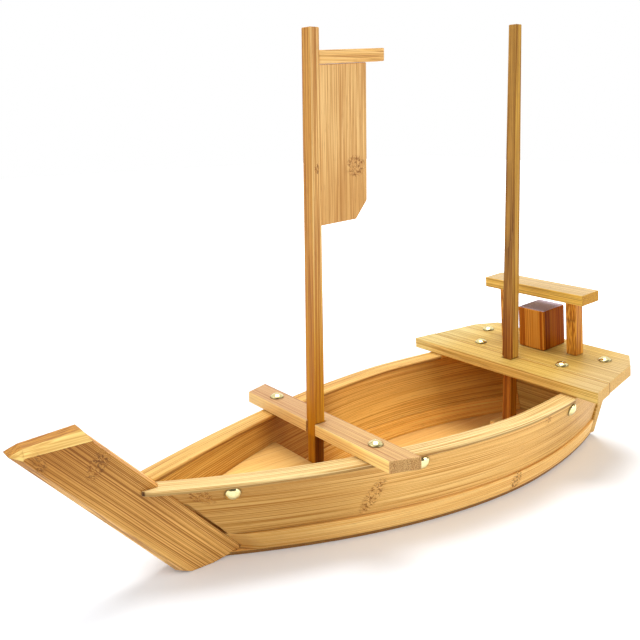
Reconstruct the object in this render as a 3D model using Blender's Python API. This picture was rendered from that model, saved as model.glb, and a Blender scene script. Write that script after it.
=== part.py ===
"""Sushi boat: a planked serving boat with two lift-out masts, a thwart and a stern deck.

Metres, +Z up, bow towards -X, origin on the table under the middle of the boat.
"""
import math

import bpy
from mathutils import Matrix, Vector

# Fit between pieces
GAP = 0.0003
EDGE = 0.0008

# Hull plan, as half beams: rail edge, top of the side planking and foot of the hull
BEAM_X = 0.118
RAIL_BEAM = 0.0996
RAIL_LIP = 0.001
FOOT_BEAM = 0.0785
RAIL_BOW_X = -0.233
RAIL_POWER = 1.767
SIDE_BOW_X = -0.204
SIDE_POWER = 1.8
FOOT_BOW_X = -0.1525
FOOT_POWER = 1.93
STERN_X = 0.2777
RAIL_STERN_DROP = 0.0185
RAIL_STERN_POWER = 1.464
SIDE_STERN_DROP = 0.032
SIDE_STERN_POWER = 2.07
FOOT_STERN_DROP = 0.0301
FOOT_STERN_POWER = 1.87

# Hull heights and planking
BOTTOM_THICK = 0.0032
BOTTOM_TIP = 0.0075
BOTTOM_INSET = 0.0006
LEDGE_TOP = 0.0197
LEDGE = 0.0025
BOW_TRIM = 1.0
PLANK = 0.007
CENTRE_CLEAR = 0.0004
RAIL_TOP = 0.0711
RAIL_WIDTH = 0.0175
RAIL_THICK = 0.0034
RAIL_LAP = 0.0145
RAIL_POINT = 0.0011
RAIL_TRIM = 0.8
RAIL_END = 0.0012
BEARER_STATIONS = 12
BOW_SHEER = 0.003
STERN_SHEER = 0.0034
STATIONS = 36
NOSE_STATIONS = 6
FIT_PASSES = 12
TRANSOM_THICK = 0.008

# End of the upper plank at the stem: share of its height, and how far it is held back there
PLANK_END = ((0.0, 0.002), (0.35, 0.003), (0.68, 0.003), (0.72, 0.0), (1.0, 0.0))

# Stem board
STEM_RAKE = math.radians(45)
STEM_HEEL_X = -0.1156
STEM_RUN = 0.0587
STEM_TAPER = 0.04
STEM_THICK = 0.022
STEM_TOP = 0.1279
STEM_TILT = 0.082
STEM_SIDE_TOP = 0.120
STEM_BEVEL = 0.0052
STEM_FRONT_BEVEL = 0.0034
STEM_BACK_BEVEL = 0.0016
STEM_NOSE = 0.0077
STEM_NOSE_DROP = 0.0032
STEM_NAPE = 0.002
STEM_TOE = 0.0025
STEM_TOE_RUN = 0.011
STEM_FLAT = 0.018
STEM_RISE = 0.0037
STEM_NIP = 0.0065

# Thwart and the bow shelf that ends under it
THWART_X = -0.046
THWART_WIDTH = 0.0247
THWART_HALF = 0.0968
THWART_SPLAY = 0.38
THWART_THICK = 0.0101
SHELF_TOP = 0.0467
SHELF_THICK = 0.006
RISER_THICK = 0.008

# Stern deck, pitched up towards the stern
DECK_X = 0.1886
DECK_PITCH = math.radians(4)
DECK_THICK = 0.011
DECK_LENGTH = 0.1027
DECK_HALF = 0.1158
DECK_TAPER = 0.203
DECK_FRONT = 0.027
DECK_STEP = 0.0008
DECK_CORNER = 0.0235
DECK_BACK_HALF = 0.084
DECK_BEAM_WIDTH = 0.018
DECK_BEAM_DEPTH = 0.012

# Bench and block on the deck
BENCH_SET = 0.0578
BAR_WIDTH = 0.0276
BAR_HALF = 0.0616
BAR_THICK = 0.0109
POST = 0.012
POST_HEIGHT = 0.0557
POST_Y = 0.042
BLOCK_SET = 0.056
BLOCK_LENGTH = 0.0352
BLOCK_HALF = 0.0162
BLOCK_HEIGHT = 0.0427

# Masts, yard and flag. A mast narrows upwards from its shoulders, and its tenon goes down to a step.
MAST_FOOT = 0.0085
MAST_INSET = 0.0004
TENON = 0.0104
FORE_LENGTH = 0.397
FORE_DEPTH = 0.0094
FORE_WIDTH = 0.0132
FORE_TIP_DEPTH = 0.0094
FORE_TIP_WIDTH = 0.0114
AFT_LENGTH = 0.413
AFT_DEPTH = 0.0103
AFT_WIDTH = 0.0135
AFT_TIP_DEPTH = 0.0082
AFT_TIP_WIDTH = 0.0096
SLOT_SPARE = 0.003
STEP_SIZE = 0.028
STEP_DEPTH = 0.010
YARD_DROP = 0.0178
YARD_LENGTH = 0.0697
YARD_HEIGHT = 0.011
YARD_THICK = 0.009
YARD_TILT = math.radians(3.6)
FLAG_WIDTH = 0.0513
FLAG_HEIGHT = 0.1306
FLAG_THICK = 0.005
FLAG_CORNER_X = 0.012
FLAG_CORNER_Z = 0.0145

# Domed nails
NAIL_RADIUS = 0.0062
NAIL_DOME = 0.0034
NAIL_RINGS = 6
NAIL_SIDES = 24
SHANK = 0.0011
SIDE_SHANK = 0.005
DECK_NAIL_Y = 0.052
DECK_NAIL_SET = 0.0148

# Nails in the upper plank: place along the hull, and distance from the plank's top edge to the head
SIDE_NAILS = (("bow", -0.1396, 0.0026), ("mid", 0.004, 0.0004), ("stern", 0.185, 0.0004))

# Finishes: colour, roughness and metallic value
BAMBOO = ((0.62, 0.38, 0.15), 0.45, 0.0)
PALE_BAMBOO = ((0.86, 0.66, 0.36), 0.45, 0.0)
BRASS = ((0.83, 0.74, 0.46), 0.22, 1.0)


def clear_scene():
    for old in list(bpy.data.objects):
        bpy.data.objects.remove(old, do_unlink=True)


def finish_material(name, finish):
    colour, roughness, metallic = finish
    material = bpy.data.materials.new(name)
    material.use_nodes = True
    shader = material.node_tree.nodes["Principled BSDF"]
    shader.inputs["Base Color"].default_value = (*colour, 1.0)
    shader.inputs["Roughness"].default_value = roughness
    shader.inputs["Metallic"].default_value = metallic
    return material


def add_object(name, points, faces, finish, origin=(0, 0, 0)):
    base = Vector(origin)
    mesh = bpy.data.meshes.new(name)
    mesh.from_pydata([Vector(p) - base for p in points], [], faces)
    mesh.validate()
    piece = bpy.data.objects.new(name, mesh)
    piece.location = base
    bpy.context.scene.collection.objects.link(piece)
    if finish:
        mesh.materials.append(finish_material(name, finish))
    return piece


def signed_volume(points, faces):
    """Six times the volume inside the faces, negative where they point inwards."""
    total = 0.0
    for face in faces:
        first = Vector(points[face[0]])
        for a, b in zip(face[1:], face[2:]):
            total += first.dot(Vector(points[a]).cross(Vector(points[b])))
    return total


def loft(name, rings, finish, origin=(0, 0, 0)):
    """A solid through rings of points, capped at the first and last ring."""
    count = len(rings[0])
    points = [p for ring in rings for p in ring]
    faces = [tuple(range(count))[::-1]]
    for r in range(len(rings) - 1):
        for k in range(count):
            n = (k + 1) % count
            faces.append((r * count + k, r * count + n, (r + 1) * count + n, (r + 1) * count + k))
    last = (len(rings) - 1) * count
    faces.append(tuple(last + k for k in range(count)))
    if signed_volume(points, faces) < 0:
        faces = [face[::-1] for face in faces]
    return add_object(name, points, faces, finish, origin)


def soften(piece, width=EDGE, segments=2):
    bevel = piece.modifiers.new("Soft edges", "BEVEL")
    bevel.width = width
    bevel.segments = segments
    bevel.limit_method = "ANGLE"
    bevel.angle_limit = math.radians(30)
    return piece


def drill(piece, place, length):
    """A hole for a nail's shank, open at the surface that the nail sits on."""
    radius = SHANK + GAP
    rings = []
    for depth in (NAIL_DOME, -length - GAP):
        rings.append([place @ Vector((radius * math.cos(a), radius * math.sin(a), depth))
                      for a in turn(NAIL_SIDES)])
    cut_with(piece, loft("cutter", rings, None))


def cut_with(piece, cutter):
    cutter.hide_render = True
    cutter.display_type = "WIRE"
    cut = piece.modifiers.new("Cut", "BOOLEAN")
    cut.operation = "DIFFERENCE"
    cut.solver = "EXACT"
    cut.object = cutter


def turn(count):
    return [2 * math.pi * k / count for k in range(count)]


def box_rings(low, high):
    """Bottom and top rings of an upright box between two corners."""
    flat = [(low[0], low[1]), (high[0], low[1]), (high[0], high[1]), (low[0], high[1])]
    return [[(x, y, z) for x, y in flat] for z in (low[2], high[2])]


# Hull form

def half_beam(x, full, bow, stern):
    """Half of a beam that is full at one station and narrows by a power law to bow and stern."""
    if x < BEAM_X:
        bow_x, power = bow
        return full * (1 - ((BEAM_X - x) / (BEAM_X - bow_x)) ** power)
    drop, power = stern
    return full - drop * ((x - BEAM_X) / (STERN_X - BEAM_X)) ** power


def rail_edge(x):
    return half_beam(x, RAIL_BEAM, (RAIL_BOW_X, RAIL_POWER), (RAIL_STERN_DROP, RAIL_STERN_POWER))


def side_edge(x):
    full = RAIL_BEAM - RAIL_LIP
    return half_beam(x, full, (SIDE_BOW_X, SIDE_POWER), (SIDE_STERN_DROP, SIDE_STERN_POWER))


def foot_edge(x):
    return half_beam(x, FOOT_BEAM, (FOOT_BOW_X, FOOT_POWER), (FOOT_STERN_DROP, FOOT_STERN_POWER))


def slope(curve, x, *rest):
    step = 0.001
    return (curve(x + step, *rest) - curve(x - step, *rest)) / (2 * step)


def rail_inner(x):
    return rail_edge(x) - RAIL_WIDTH * math.hypot(1, slope(rail_edge, x))


def rail_tip_x():
    return stem_face(RAIL_TOP) - RAIL_LAP


def rail_outer(x):
    """The rail's edge, trimmed at the bow to a blunt point against the stem."""
    point = STEM_THICK / 2 + GAP + RAIL_POINT
    return max(point, min(rail_edge(x), point + RAIL_TRIM * (x - rail_tip_x())))


def rail_middle(x):
    return (rail_outer(x) + rail_inner(x)) / 2


def sheer(x):
    """Height of the top of the rail."""
    if x < THWART_X:
        return RAIL_TOP + BOW_SHEER * ((THWART_X - x) / (THWART_X - rail_tip_x())) ** 2
    along = min(x, DECK_X)
    height = RAIL_TOP + STERN_SHEER * ((along - THWART_X) / (DECK_X - THWART_X)) ** 2
    return height + (x - along) * math.tan(DECK_PITCH)


def side_top(x):
    return sheer(x) - RAIL_THICK - GAP


def skin(x, z):
    """Half breadth to the outer face of the upper planking, which leans out with height."""
    low = foot_edge(x) - LEDGE
    return max(low + (side_edge(x) - low) * z / side_top(x), 2 * CENTRE_CLEAR)


def ledge_skin(x, z):
    """Half breadth to the outer face of the lower plank, which stands proud of the upper one."""
    return skin(x, z) + LEDGE


def lower_skin(x, z):
    """The lower plank's outer face, trimmed at the bow to lie flush with the stem."""
    return min(ledge_skin(x, z), STEM_THICK / 2 + BOW_TRIM * (x - stem_face(z)))


def eased_ledge(x, z):
    return lower_skin(x, z) - EDGE


def level(z):
    """A height that is the same all along the hull."""
    return lambda x: z


def lining(x, z):
    """Half breadth to the inner face of all the planking."""
    return max(skin(x, z) - PLANK * math.hypot(1, slope(skin, x, z)), CENTRE_CLEAR)


def stem_back(z):
    """X of the stem's raked back, upright below the nip at its heel."""
    return STEM_HEEL_X - max(z, STEM_NIP) / math.tan(STEM_RAKE)


def stem_face(z):
    """X of the edge where the bevel at the stem's back meets its side face."""
    return stem_back(z) - STEM_BACK_BEVEL / math.sin(STEM_RAKE)


def bow_start(height, line):
    """X just clear of a raked line of the stem, at a height that varies along the hull."""
    x = STEM_HEEL_X
    for _ in range(FIT_PASSES):
        x = line(height(x)) + GAP / math.sin(STEM_RAKE)
    return x


def row(breadth, height, start, end):
    """Points along one edge of a plank."""
    xs = [start + (end - start) * k / STATIONS for k in range(STATIONS + 1)]
    return [(x, breadth(x, height(x)), height(x)) for x in xs]


def plank_row(breadth, height, back=0.0):
    return row(breadth, height, bow_start(height, stem_face) + back, STERN_X - GAP)


def side_plank(name, rows, side):
    """A plank through its rows, with its bow end fitted round the bevelled back of the stem."""
    rings = [[(x, side * y, z) for x, y, z in ring] for ring in zip(*rows)]
    plank = loft(name, rings, BAMBOO)
    cut_with(plank, loft("cutter", stem_rings(GAP), None))
    return plank


def build_lower_plank(name, side):
    foot = BOTTOM_THICK + GAP
    rows = [
        plank_row(lower_skin, level(foot)),
        plank_row(lower_skin, level(LEDGE_TOP - EDGE)),
        plank_row(eased_ledge, level(LEDGE_TOP)),
        plank_row(lining, level(LEDGE_TOP)),
        plank_row(lining, level(foot)),
    ]
    return side_plank(name, rows, side)


def build_upper_plank(name, side):
    """Only the top of its bow end touches the stem."""
    base = LEDGE_TOP + GAP
    outer = []
    inner = []
    for part, back in PLANK_END:
        def height(x, part=part):
            return base + (side_top(x) - base) * part
        outer.append(plank_row(skin, height, back))
        inner.append(plank_row(lining, height, back))
    plank = side_plank(name, outer + inner[::-1], side)
    for _, x, drop in SIDE_NAILS:
        drill(plank, side_nail_place(x, drop, side), SIDE_SHANK)
    return plank


def build_rail(name, side):
    """A strip on the planking, cut to fit the back and the face of the stem.

    Each of its two layers is an outline: out along the edge, then back along the inner side,
    which has one more point, for the corner at the back of the stem.
    """
    face = STEM_THICK / 2 + GAP
    shoulder = STEM_THICK / 2 - STEM_BEVEL
    tip = rail_tip_x()
    points = []
    for drop in (RAIL_THICK, 0.0):
        def height(x, drop=drop):
            return sheer(x) - drop
        back = bow_start(height, stem_back)
        front = bow_start(height, stem_face)
        nose = [tip + (front - tip) * k / NOSE_STATIONS for k in range(NOSE_STATIONS + 1)]
        main = [back + (rail_end_x() - back) * k / STATIONS for k in range(STATIONS + 1)]
        outer = [(x, rail_outer(x)) for x in nose + main]
        inner = [(x, face) for x in nose] + [(back, shoulder)]
        inner += [(x, max(rail_inner(x), CENTRE_CLEAR)) for x in main]
        points += [(x, side * y, height(x)) for x, y in outer + inner[::-1]]
    count = len(points) // 2
    outers = len(outer)
    corner = NOSE_STATIONS + 1
    faces = []
    for layer in (0, count):
        last = layer + count - 1
        strips = []
        for k in range(outers - 1):
            near = last - k - (k > corner)
            far = last - k - 1 - (k >= corner)
            inner_side = range(far, near + 1)
            strips.append((layer + k, layer + k + 1, *inner_side))
        faces += strips if layer else [strip[::-1] for strip in strips]
    faces += [(k, (k + 1) % count, count + (k + 1) % count, count + k) for k in range(count)]
    if signed_volume(points, faces) < 0:
        faces = [f[::-1] for f in faces]
    rail = add_object(name, points, faces, PALE_BAMBOO)
    drill(rail, thwart_nail_place(side), thwart_shank())
    return rail


def rail_end_x():
    return DECK_X - RAIL_END


def build_bearer(name, side):
    """Carries the deck where the rail stops, flush with the planking below."""
    start = rail_end_x() + GAP
    end = STERN_X - GAP
    rings = []
    for k in range(BEARER_STATIONS + 1):
        x = start + (end - start) * k / BEARER_STATIONS
        low = sheer(x) - RAIL_THICK
        high = sheer(x)
        edges = [(skin(x, low), low), (skin(x, high), high), (rail_inner(x), high), (rail_inner(x), low)]
        rings.append([(x, side * y, z) for y, z in edges])
    bearer = loft(name, rings, BAMBOO)
    drill(bearer, rear_nail_place(side), rear_shank())
    return bearer


def bottom_tip_x():
    return BEAM_X - (BEAM_X - FOOT_BOW_X) * (1 - BOTTOM_TIP / FOOT_BEAM) ** (1 / FOOT_POWER)


def build_bottom_board():
    """Its edge is in the shade of the planking, and its tip is cut to run under the heel of the stem."""
    start = bottom_tip_x()
    end = STERN_X + TRANSOM_THICK
    rings = []
    for k in range(STATIONS + 1):
        x = start + (end - start) * k / STATIONS
        low = ledge_skin(x, 0.0) - BOTTOM_INSET
        high = ledge_skin(x, BOTTOM_THICK) - BOTTOM_INSET
        rings.append([(x, -low, 0.0), (x, low, 0.0), (x, high, BOTTOM_THICK), (x, -high, BOTTOM_THICK)])
    board = loft("bottom_board", rings, BAMBOO)
    cut_with(board, loft("cutter", stem_rings(GAP), None))
    return board


def build_transom():
    foot = BOTTOM_THICK + GAP
    low = ledge_skin(STERN_X, foot)
    high = ledge_skin(STERN_X, sheer(STERN_X))
    rings = []
    for x in (STERN_X, STERN_X + TRANSOM_THICK):
        top = sheer(x)
        rings.append([(x, -low, foot), (x, low, foot), (x, high, top), (x, -high, top)])
    return soften(loft("transom", rings, BAMBOO))


def stem_outline(bevelled, grow):
    """Side view of the stem, drawn in by its bevels for a side face, and grown for a cutter.

    Its underside is flat behind the toe and then rises to the heel, so the bottom board can run under it.
    """
    lean = 1 / math.tan(STEM_RAKE)
    across = 1 / math.sin(STEM_RAKE)
    back_inset = (bevelled * STEM_BACK_BEVEL - grow) * across
    front_inset = (bevelled * STEM_FRONT_BEVEL - grow) * across

    def back(z):
        return stem_back(z) - back_inset

    def front(z):
        return STEM_HEEL_X - STEM_RUN - z * (lean - STEM_TAPER)

    def top(x):
        if bevelled:
            return STEM_SIDE_TOP + grow
        return STEM_TOP - (stem_back(STEM_TOP) - x) * STEM_TILT + grow

    toe = front(STEM_TOE) + STEM_TOE_RUN
    flat = toe + STEM_FLAT
    heel = back(STEM_NIP)
    rise = STEM_RISE * (heel - flat) / (stem_back(STEM_NIP) - flat)
    nape = (STEM_SIDE_TOP if bevelled else STEM_TOP) - STEM_NAPE
    crown = back(nape) - STEM_NAPE * lean / 2
    nose = front(STEM_SIDE_TOP) + STEM_NOSE
    tip = top(nose) - STEM_NOSE_DROP / (1 + bevelled)
    return [
        (flat, -grow),
        (heel, rise - grow),
        (heel, STEM_NIP),
        (back(nape), nape),
        (crown, top(crown)),
        (nose, top(nose)),
        (front(tip) + front_inset, tip),
        (front(STEM_TOE) + front_inset, STEM_TOE),
        (toe, -grow),
    ]


def stem_rings(grow):
    """Side views of the stem from face to face, grown all round for a cutter."""
    half = STEM_THICK / 2
    rings = []
    for y, bevelled in ((-half, 1), (STEM_BEVEL - half, 0), (half - STEM_BEVEL, 0), (half, 1)):
        rings.append([(x, y + math.copysign(grow, y), z) for x, z in stem_outline(bevelled, grow)])
    return rings


def build_stem():
    return loft("stem_board", stem_rings(0.0), BAMBOO)


def floor_between_sides(name, low, high, end, finish):
    """A board whose edges follow the lining between two heights."""
    margin = 2 * GAP
    rows = []
    for z, side in ((low, -1), (low, 1), (high, 1), (high, -1)):
        start = bow_start(level(z), stem_back) + CENTRE_CLEAR
        edge = row(lining, level(z), start, end)
        rows.append([(x, side * (y - margin), z) for x, y, z in edge])
    return loft(name, list(zip(*rows)), finish)


def build_bow_shelf():
    end = fore_mast_x() - FORE_DEPTH / 2 - GAP
    return floor_between_sides("bow_shelf", SHELF_TOP - SHELF_THICK, SHELF_TOP, end, BAMBOO)


def build_riser():
    """An upright board under the aft end of the bow shelf, against the step of the fore mast."""
    low = BOTTOM_THICK + GAP
    high = SHELF_TOP - SHELF_THICK - GAP
    aft = fore_mast_x() - STEP_SIZE / 2 - GAP
    margin = 2 * GAP
    rings = []
    for x in (aft - RISER_THICK, aft):
        wide = [(z, lining(x, z) - margin) for z in (low, high)]
        ring = [(x, -y, z) for z, y in wide]
        rings.append(ring + [(x, y, z) for z, y in wide[::-1]])
    return loft("bow_riser", rings, BAMBOO)


# Thwart

def thwart_under():
    return RAIL_TOP + GAP


def thwart_top():
    return thwart_under() + THWART_THICK


def fore_mast_x():
    return THWART_X + MAST_INSET + FORE_DEPTH / 2


def build_thwart():
    back = THWART_X + THWART_WIDTH
    wide = THWART_HALF + THWART_SPLAY * THWART_WIDTH
    slot = TENON / 2 + GAP
    slot_end = fore_mast_x() + FORE_DEPTH / 2 + SLOT_SPARE
    right = [(THWART_X, slot), (THWART_X, THWART_HALF), (back, wide)]
    left = [(x, -y) for x, y in right[::-1]]
    outline = [(slot_end, -slot), (slot_end, slot)] + right + left
    rings = [[(x, y, z) for x, y in outline] for z in (thwart_under(), thwart_top())]
    thwart = soften(loft("thwart", rings, BAMBOO))
    for side in (-1, 1):
        drill(thwart, thwart_nail_place(side), thwart_shank())
    return thwart


# Stern deck, in its own pitched frame: s aft along the deck, y across, h up from its underside

def deck_frame():
    base = Vector((DECK_X, 0.0, sheer(DECK_X) + GAP))
    return Matrix.Translation(base) @ Matrix.Rotation(-DECK_PITCH, 4, "Y")


def deck_half(s):
    return DECK_HALF - DECK_TAPER * s


def on_deck(name, outline, low, high, finish):
    frame = deck_frame()
    rings = [[frame @ Vector((s, y, h)) for s, y in outline] for h in (low, high)]
    return loft(name, rings, finish)


def deck_box(name, s_span, y_span, h_span, finish):
    rings = box_rings(*zip(s_span, y_span, h_span))
    frame = deck_frame()
    return loft(name, [[frame @ Vector(p) for p in ring] for ring in rings], finish)


def aft_mast_x():
    """The mast stands just clear of the rear deck plank, at its upper front edge."""
    edge = deck_frame() @ Vector((DECK_FRONT + GAP, 0.0, DECK_THICK))
    return edge.x - 2 * GAP - AFT_DEPTH / 2


def build_front_deck():
    """Notched at its rear edge for the aft mast."""
    slot = TENON / 2 + 2 * GAP
    slot_front = (aft_mast_x() - AFT_DEPTH / 2 - 2 * GAP - DECK_X) / math.cos(DECK_PITCH)
    right = [(DECK_FRONT, slot), (DECK_FRONT, deck_half(DECK_FRONT) + DECK_STEP)]
    right.append((0.0, deck_half(0.0) + DECK_STEP))
    left = [(s, -y) for s, y in right[::-1]]
    outline = [(slot_front, -slot), (slot_front, slot)] + right + left
    return soften(on_deck("deck_front_plank", outline, 0.0, DECK_THICK, BAMBOO))


def build_rear_deck():
    front = DECK_FRONT + GAP
    turn_in = DECK_LENGTH - DECK_CORNER
    right = [(front, deck_half(front)), (turn_in, deck_half(turn_in)), (DECK_LENGTH, DECK_BACK_HALF)]
    outline = right + [(s, -y) for s, y in right[::-1]]
    plank = soften(on_deck("deck_rear_plank", outline, 0.0, DECK_THICK, BAMBOO))
    for side in (-1, 1):
        drill(plank, beam_nail_place(side), beam_shank())
        drill(plank, rear_nail_place(side), rear_shank())
    return plank


def build_deck_beam():
    """Between the rails and the planking, under the front edge of the rear plank."""
    s_span = (DECK_FRONT + GAP, DECK_FRONT + GAP + DECK_BEAM_WIDTH)
    corners = [deck_frame() @ Vector((s, 0.0, -GAP - DECK_BEAM_DEPTH)) for s in s_span]
    reach = min(min(rail_inner(c.x), lining(c.x, c.z)) for c in corners) - 3 * GAP
    beam = deck_box("deck_beam", s_span, (-reach, reach), (-GAP - DECK_BEAM_DEPTH, -GAP), BAMBOO)
    for side in (-1, 1):
        drill(beam, beam_nail_place(side), beam_shank())
    return beam


def build_bench():
    bar_middle = BENCH_SET + BAR_WIDTH / 2
    foot = DECK_THICK + GAP
    post_span = (bar_middle - POST / 2, bar_middle + POST / 2)
    for name, side in (("bench_post_port", -1), ("bench_post_starboard", 1)):
        y_span = sorted((side * POST_Y - POST / 2, side * POST_Y + POST / 2))
        soften(deck_box(name, post_span, y_span, (foot, foot + POST_HEIGHT), PALE_BAMBOO))
    bar_under = foot + POST_HEIGHT + GAP
    s_span = (BENCH_SET, BENCH_SET + BAR_WIDTH)
    h_span = (bar_under, bar_under + BAR_THICK)
    soften(deck_box("bench_bar", s_span, (-BAR_HALF, BAR_HALF), h_span, PALE_BAMBOO))


def build_block():
    foot = DECK_THICK + GAP
    s_span = (BLOCK_SET, BLOCK_SET + BLOCK_LENGTH)
    y_span = (-BLOCK_HALF, BLOCK_HALF)
    soften(deck_box("stern_block", s_span, y_span, (foot, foot + BLOCK_HEIGHT), PALE_BAMBOO), 2 * EDGE)


# Masts

def fore_top():
    return MAST_FOOT + FORE_LENGTH


def build_mast(name, x, shoulder, length, at_foot, at_tip):
    """A shaft on a narrower tenon, outlined across the boat, with its front and back faces drawn in upwards."""
    depth, width = at_foot
    tip_depth, tip_width = at_tip
    top = MAST_FOOT + length
    right = [(TENON, MAST_FOOT), (TENON, shoulder), (width, shoulder), (tip_width, top)]
    outline = right + [(-wide, z) for wide, z in right[::-1]]
    rings = []
    for side in (-1, 1):
        ring = []
        for wide, z in outline:
            deep = depth + (tip_depth - depth) * (z - MAST_FOOT) / length
            ring.append((x + side * deep / 2, wide / 2, z))
        rings.append(ring)
    return soften(loft(name, rings, BAMBOO, (x, 0.0, MAST_FOOT)))


def build_masts():
    """The shoulders of each mast stand just clear of the thwart or the deck."""
    fore = thwart_top() + GAP
    build_mast("fore_mast", fore_mast_x(), fore, FORE_LENGTH,
               (FORE_DEPTH, FORE_WIDTH), (FORE_TIP_DEPTH, FORE_TIP_WIDTH))
    edge = (aft_mast_x() + AFT_DEPTH / 2 - DECK_X) * math.tan(DECK_PITCH)
    aft = sheer(DECK_X) + GAP + DECK_THICK / math.cos(DECK_PITCH) + edge + GAP
    build_mast("aft_mast", aft_mast_x(), aft, AFT_LENGTH,
               (AFT_DEPTH, AFT_WIDTH), (AFT_TIP_DEPTH, AFT_TIP_WIDTH))
    build_step("fore_mast_step", fore_mast_x(), FORE_DEPTH)
    build_step("aft_mast_step", aft_mast_x(), AFT_DEPTH)


def build_step(name, x, depth):
    """A block on the bottom board with a socket for the mast's tenon."""
    half = STEP_SIZE / 2
    low = (x - half, -half, BOTTOM_THICK + GAP)
    block = soften(loft(name, box_rings(low, (x + half, half, MAST_FOOT + STEP_DEPTH)), BAMBOO))
    deep = depth / 2 + GAP
    wide = TENON / 2 + GAP
    socket = box_rings((x - deep, -wide, MAST_FOOT - GAP), (x + deep, wide, MAST_FOOT + 2 * STEP_DEPTH))
    cut_with(block, loft("cutter", socket, None))


def yard_line(x_out, drop):
    """Height of a line parallel to the yard, a drop below the yard's top at the mast."""
    return fore_top() - YARD_DROP - drop + x_out * math.tan(YARD_TILT)


def plate_on_mast(name, outline, thick, finish):
    """A flat piece in the centre plane, outlined aft of the fore mast's aft face."""
    face = fore_mast_x() + FORE_DEPTH / 2 + GAP
    rings = [[(face + x, y, z) for x, z in outline] for y in (-thick / 2, thick / 2)]
    return soften(loft(name, rings, finish, (fore_mast_x(), 0.0, MAST_FOOT)))


def build_yard():
    outline = [(x, yard_line(x, drop)) for x, drop in
               ((0.0, YARD_HEIGHT), (YARD_LENGTH, YARD_HEIGHT), (YARD_LENGTH, 0.0), (0.0, 0.0))]
    return plate_on_mast("yard", outline, YARD_THICK, BAMBOO)


def build_flag():
    top = YARD_HEIGHT + GAP / math.cos(YARD_TILT)
    low = YARD_HEIGHT + FLAG_HEIGHT
    cut = FLAG_WIDTH - FLAG_CORNER_X
    outline = [
        (0.0, yard_line(0.0, low)),
        (cut, yard_line(cut, low)),
        (FLAG_WIDTH, yard_line(FLAG_WIDTH, low - FLAG_CORNER_Z)),
        (FLAG_WIDTH, yard_line(FLAG_WIDTH, top)),
        (0.0, yard_line(0.0, top)),
    ]
    return plate_on_mast("flag_board", outline, FLAG_THICK, BAMBOO)


# Nails: each place is a frame with its Z axis out of the surface

def thwart_nail_place(side):
    """Over the middle of the rail."""
    x = THWART_X + THWART_WIDTH / 2
    return Matrix.Translation((x, side * rail_middle(x), thwart_top()))


def thwart_shank():
    return THWART_THICK + RAIL_THICK / 2


def beam_nail_place(side):
    s = DECK_FRONT + GAP + DECK_BEAM_WIDTH / 2
    return deck_frame() @ Matrix.Translation((s, side * DECK_NAIL_Y, DECK_THICK))


def beam_shank():
    return DECK_THICK + DECK_BEAM_DEPTH / 2


def rear_nail_place(side):
    """Over the middle of the rail, a little way forward of the transom."""
    x = STERN_X - DECK_NAIL_SET
    s = (x - DECK_X) / math.cos(DECK_PITCH)
    return deck_frame() @ Matrix.Translation((s, side * rail_middle(x), DECK_THICK))


def rear_shank():
    return DECK_THICK + RAIL_THICK / 2


def side_nail_place(x, drop, side):
    """On the upper plank, close under the rail."""
    z = side_top(x) - drop - NAIL_RADIUS
    lean = (skin(x, z + GAP) - skin(x, z - GAP)) / (2 * GAP)
    out = Vector((-slope(skin, x, z), 1.0, -lean))
    out.y *= side
    place = out.to_track_quat("Z", "Y").to_matrix().to_4x4()
    return Matrix.Translation((x, side * skin(x, z), z)) @ place


def build_nail(name, place, length):
    """A domed head and a shank, turned about the frame's Z axis."""
    ball = (NAIL_RADIUS ** 2 + NAIL_DOME ** 2) / (2 * NAIL_DOME)
    spread = math.asin(NAIL_RADIUS / ball)
    profile = []
    for k in range(1, NAIL_RINGS + 1):
        a = spread * k / NAIL_RINGS
        profile.append((ball * math.sin(a), GAP + NAIL_DOME - ball * (1 - math.cos(a))))
    profile.append((SHANK, GAP))
    profile.append((SHANK, GAP - length))
    rings = []
    for radius, z in profile:
        rings.append([place @ Vector((radius * math.cos(a), radius * math.sin(a), z))
                      for a in turn(NAIL_SIDES)])
    nail = loft(name, rings[::-1], BRASS, place.translation)
    nail.data.shade_smooth()
    nail.data.set_sharp_from_angle(angle=math.radians(40))
    return nail


def build_nails():
    for word, side in (("port", -1), ("starboard", 1)):
        build_nail(f"thwart_nail_{word}", thwart_nail_place(side), thwart_shank())
        build_nail(f"deck_nail_front_{word}", beam_nail_place(side), beam_shank())
        build_nail(f"deck_nail_rear_{word}", rear_nail_place(side), rear_shank())
        for spot, x, drop in SIDE_NAILS:
            build_nail(f"side_nail_{spot}_{word}", side_nail_place(x, drop, side), SIDE_SHANK)


def build_boat():
    clear_scene()
    build_stem()
    build_bottom_board()
    for word, side in (("port", -1), ("starboard", 1)):
        build_lower_plank(f"lower_plank_{word}", side)
        build_upper_plank(f"upper_plank_{word}", side)
        build_rail(f"rail_{word}", side)
        build_bearer(f"deck_bearer_{word}", side)
    build_transom()
    build_bow_shelf()
    build_riser()
    build_thwart()
    build_front_deck()
    build_rear_deck()
    build_deck_beam()
    build_bench()
    build_block()
    build_masts()
    build_yard()
    build_flag()
    build_nails()


build_boat()
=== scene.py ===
import math

import bpy
import numpy
from mathutils import Matrix, Vector


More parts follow.
